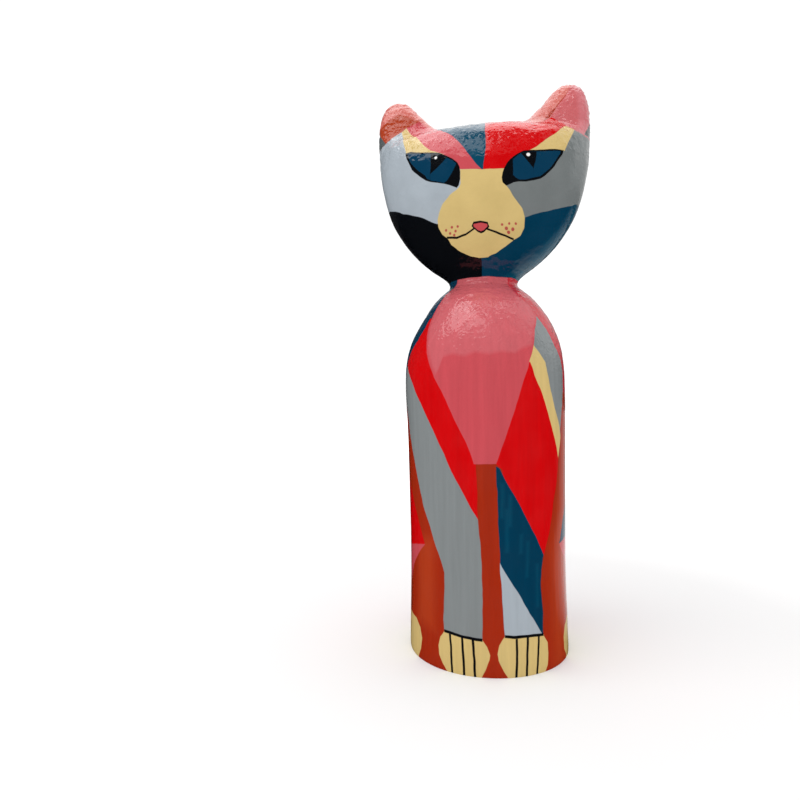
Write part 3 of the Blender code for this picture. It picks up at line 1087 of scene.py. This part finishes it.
# how far it has to point back for the whole tone
MIRRORED_FULL = 0.8
bpy.ops.object.select_all(action="DESELECT")
bpy.ops.mesh.primitive_plane_add(size=FLOOR_SIZE, location=(0.0, 0.0, 0.0))
floor = bpy.context.object
floor.name = "studio_floor"
card = bpy.data.materials.new("white_studio_card")
card.use_nodes = True
ground = card.node_tree
ground.nodes.clear()
spot = add_node(ground, "TexCoord").outputs["Object"]
reach = add_node(ground, "VectorMath", {0: spot}, operation="LENGTH").outputs["Value"]
bearing = add_node(ground, "VectorMath", {0: spot}, operation="NORMALIZE")
asking = add_node(ground, "LightPath").outputs
side, depth, height = add_node(ground, "SeparateXYZ", {0: bearing}).outputs
change = {"Value": reach, 1: TONE_CHANGE[0], 2: TONE_CHANGE[1]}
lit = add_node(ground, "MapRange", {**change, 3: MIRRORED_CARD[0], 4: MIRRORED_CARD[1]})
start = add_node(ground, "MapRange", {**change, 3: MIRRORED_FROM[0], 4: MIRRORED_FROM[1]})
back = add_node(ground, "MapRange", {"Value": depth, 1: start, 2: MIRRORED_FULL, 4: lit})
right = from_the_right(ground, side, height)
mirrored = add_node(ground, "Math", {0: back, 1: right}, operation="MULTIPLY")
asked = {0: asking["Is Glossy Ray"], 2: WHITE_CARD, 3: mirrored}
card_tone = add_node(ground, "Mix", asked)
matt = add_node(ground, "BsdfDiffuse", {"Color": card_tone})
haze = add_node(ground, "MapRange", {"Value": reach, 1: FADE[0], 2: FADE[1]})
haze = add_node(ground, "Math", {0: haze, 1: asking["Is Camera Ray"]}, operation="MULTIPLY")
far_white = add_node(ground, "Emission", {"Strength": haze})
both = add_node(ground, "AddShader", {0: matt, 1: far_white})
add_node(ground, "OutputMaterial", {"Surface": both})
floor.data.materials.append(card)
print("floor", FLOOR_SIZE, "m wide")

# %% [markdown]
# ## The air around
# The world is white to the camera, and to soft light it is a tent, a little brighter on the picture's
# right, away from the window. It isn't sampled as a lamp, so that each kind of ray reads its own tone.

# %% The air around
TENT = (0.76, 1.1)
SEEN_WHITE = 1.1
world = bpy.data.worlds.new("studio_air")
bpy.context.scene.world = world
world.use_nodes = True
world.cycles.sampling_method = "NONE"
air = world.node_tree
air.nodes.clear()
bearing = add_node(air, "TexCoord").outputs["Generated"]
asking = add_node(air, "LightPath").outputs
side = add_node(air, "SeparateXYZ", {0: bearing}).outputs["X"]
tent = add_node(air, "MapRange", {"Value": side, 1: -1.0, 2: 1.0, 3: TENT[0], 4: TENT[1]})
asked = {0: asking["Is Glossy Ray"], 2: tent, 3: mirrored_tone(air, bearing)}
tone = add_node(air, "Mix", asked)
asked = {0: asking["Is Camera Ray"], 2: tone, 3: SEEN_WHITE}
tone = add_node(air, "Mix", asked)
background = add_node(air, "Background", {"Color": (1.0, 1.0, 1.0, 1.0), "Strength": tone})
add_node(air, "OutputWorld", {"Surface": background})
print("tent", TENT)

# %% [markdown]
# ## The window and the lamp
# A large soft box stands high on the cat's right, like a window. It gives the breast its broad pale shine,
# and the round forms their slight shade. A smaller one nearly in front puts glints on the lumps in the
# middle of the breast.

# %% The window and the lamp
LIGHT_AIM = Vector((0.0, 0.0, 0.18))
LIGHTS = [
    # name, place, width and height in m, power in W
    ("window", (-0.55, -0.245, 1.05), 0.6, 0.6, 2.6),
    ("lamp", (-0.17, -0.52, 0.95), 0.44, 0.34, 0.85),
]
for name, place, width, height, power in LIGHTS:
    box = bpy.data.lights.new(name, "AREA")
    box.shape = "RECTANGLE"
    box.size, box.size_y = width, height
    box.energy = power
    lamp = bpy.data.objects.new(name, box)
    bpy.context.scene.collection.objects.link(lamp)
    lamp.location = place
    lamp.rotation_euler = (LIGHT_AIM - Vector(place)).to_track_quat("-Z", "Y").to_euler()
    lamp.visible_camera = False
    print(name, power, "W at", round((Vector(place) - LIGHT_AIM).length, 2), "m")
bpy.context.scene.view_settings.view_transform = "Standard"
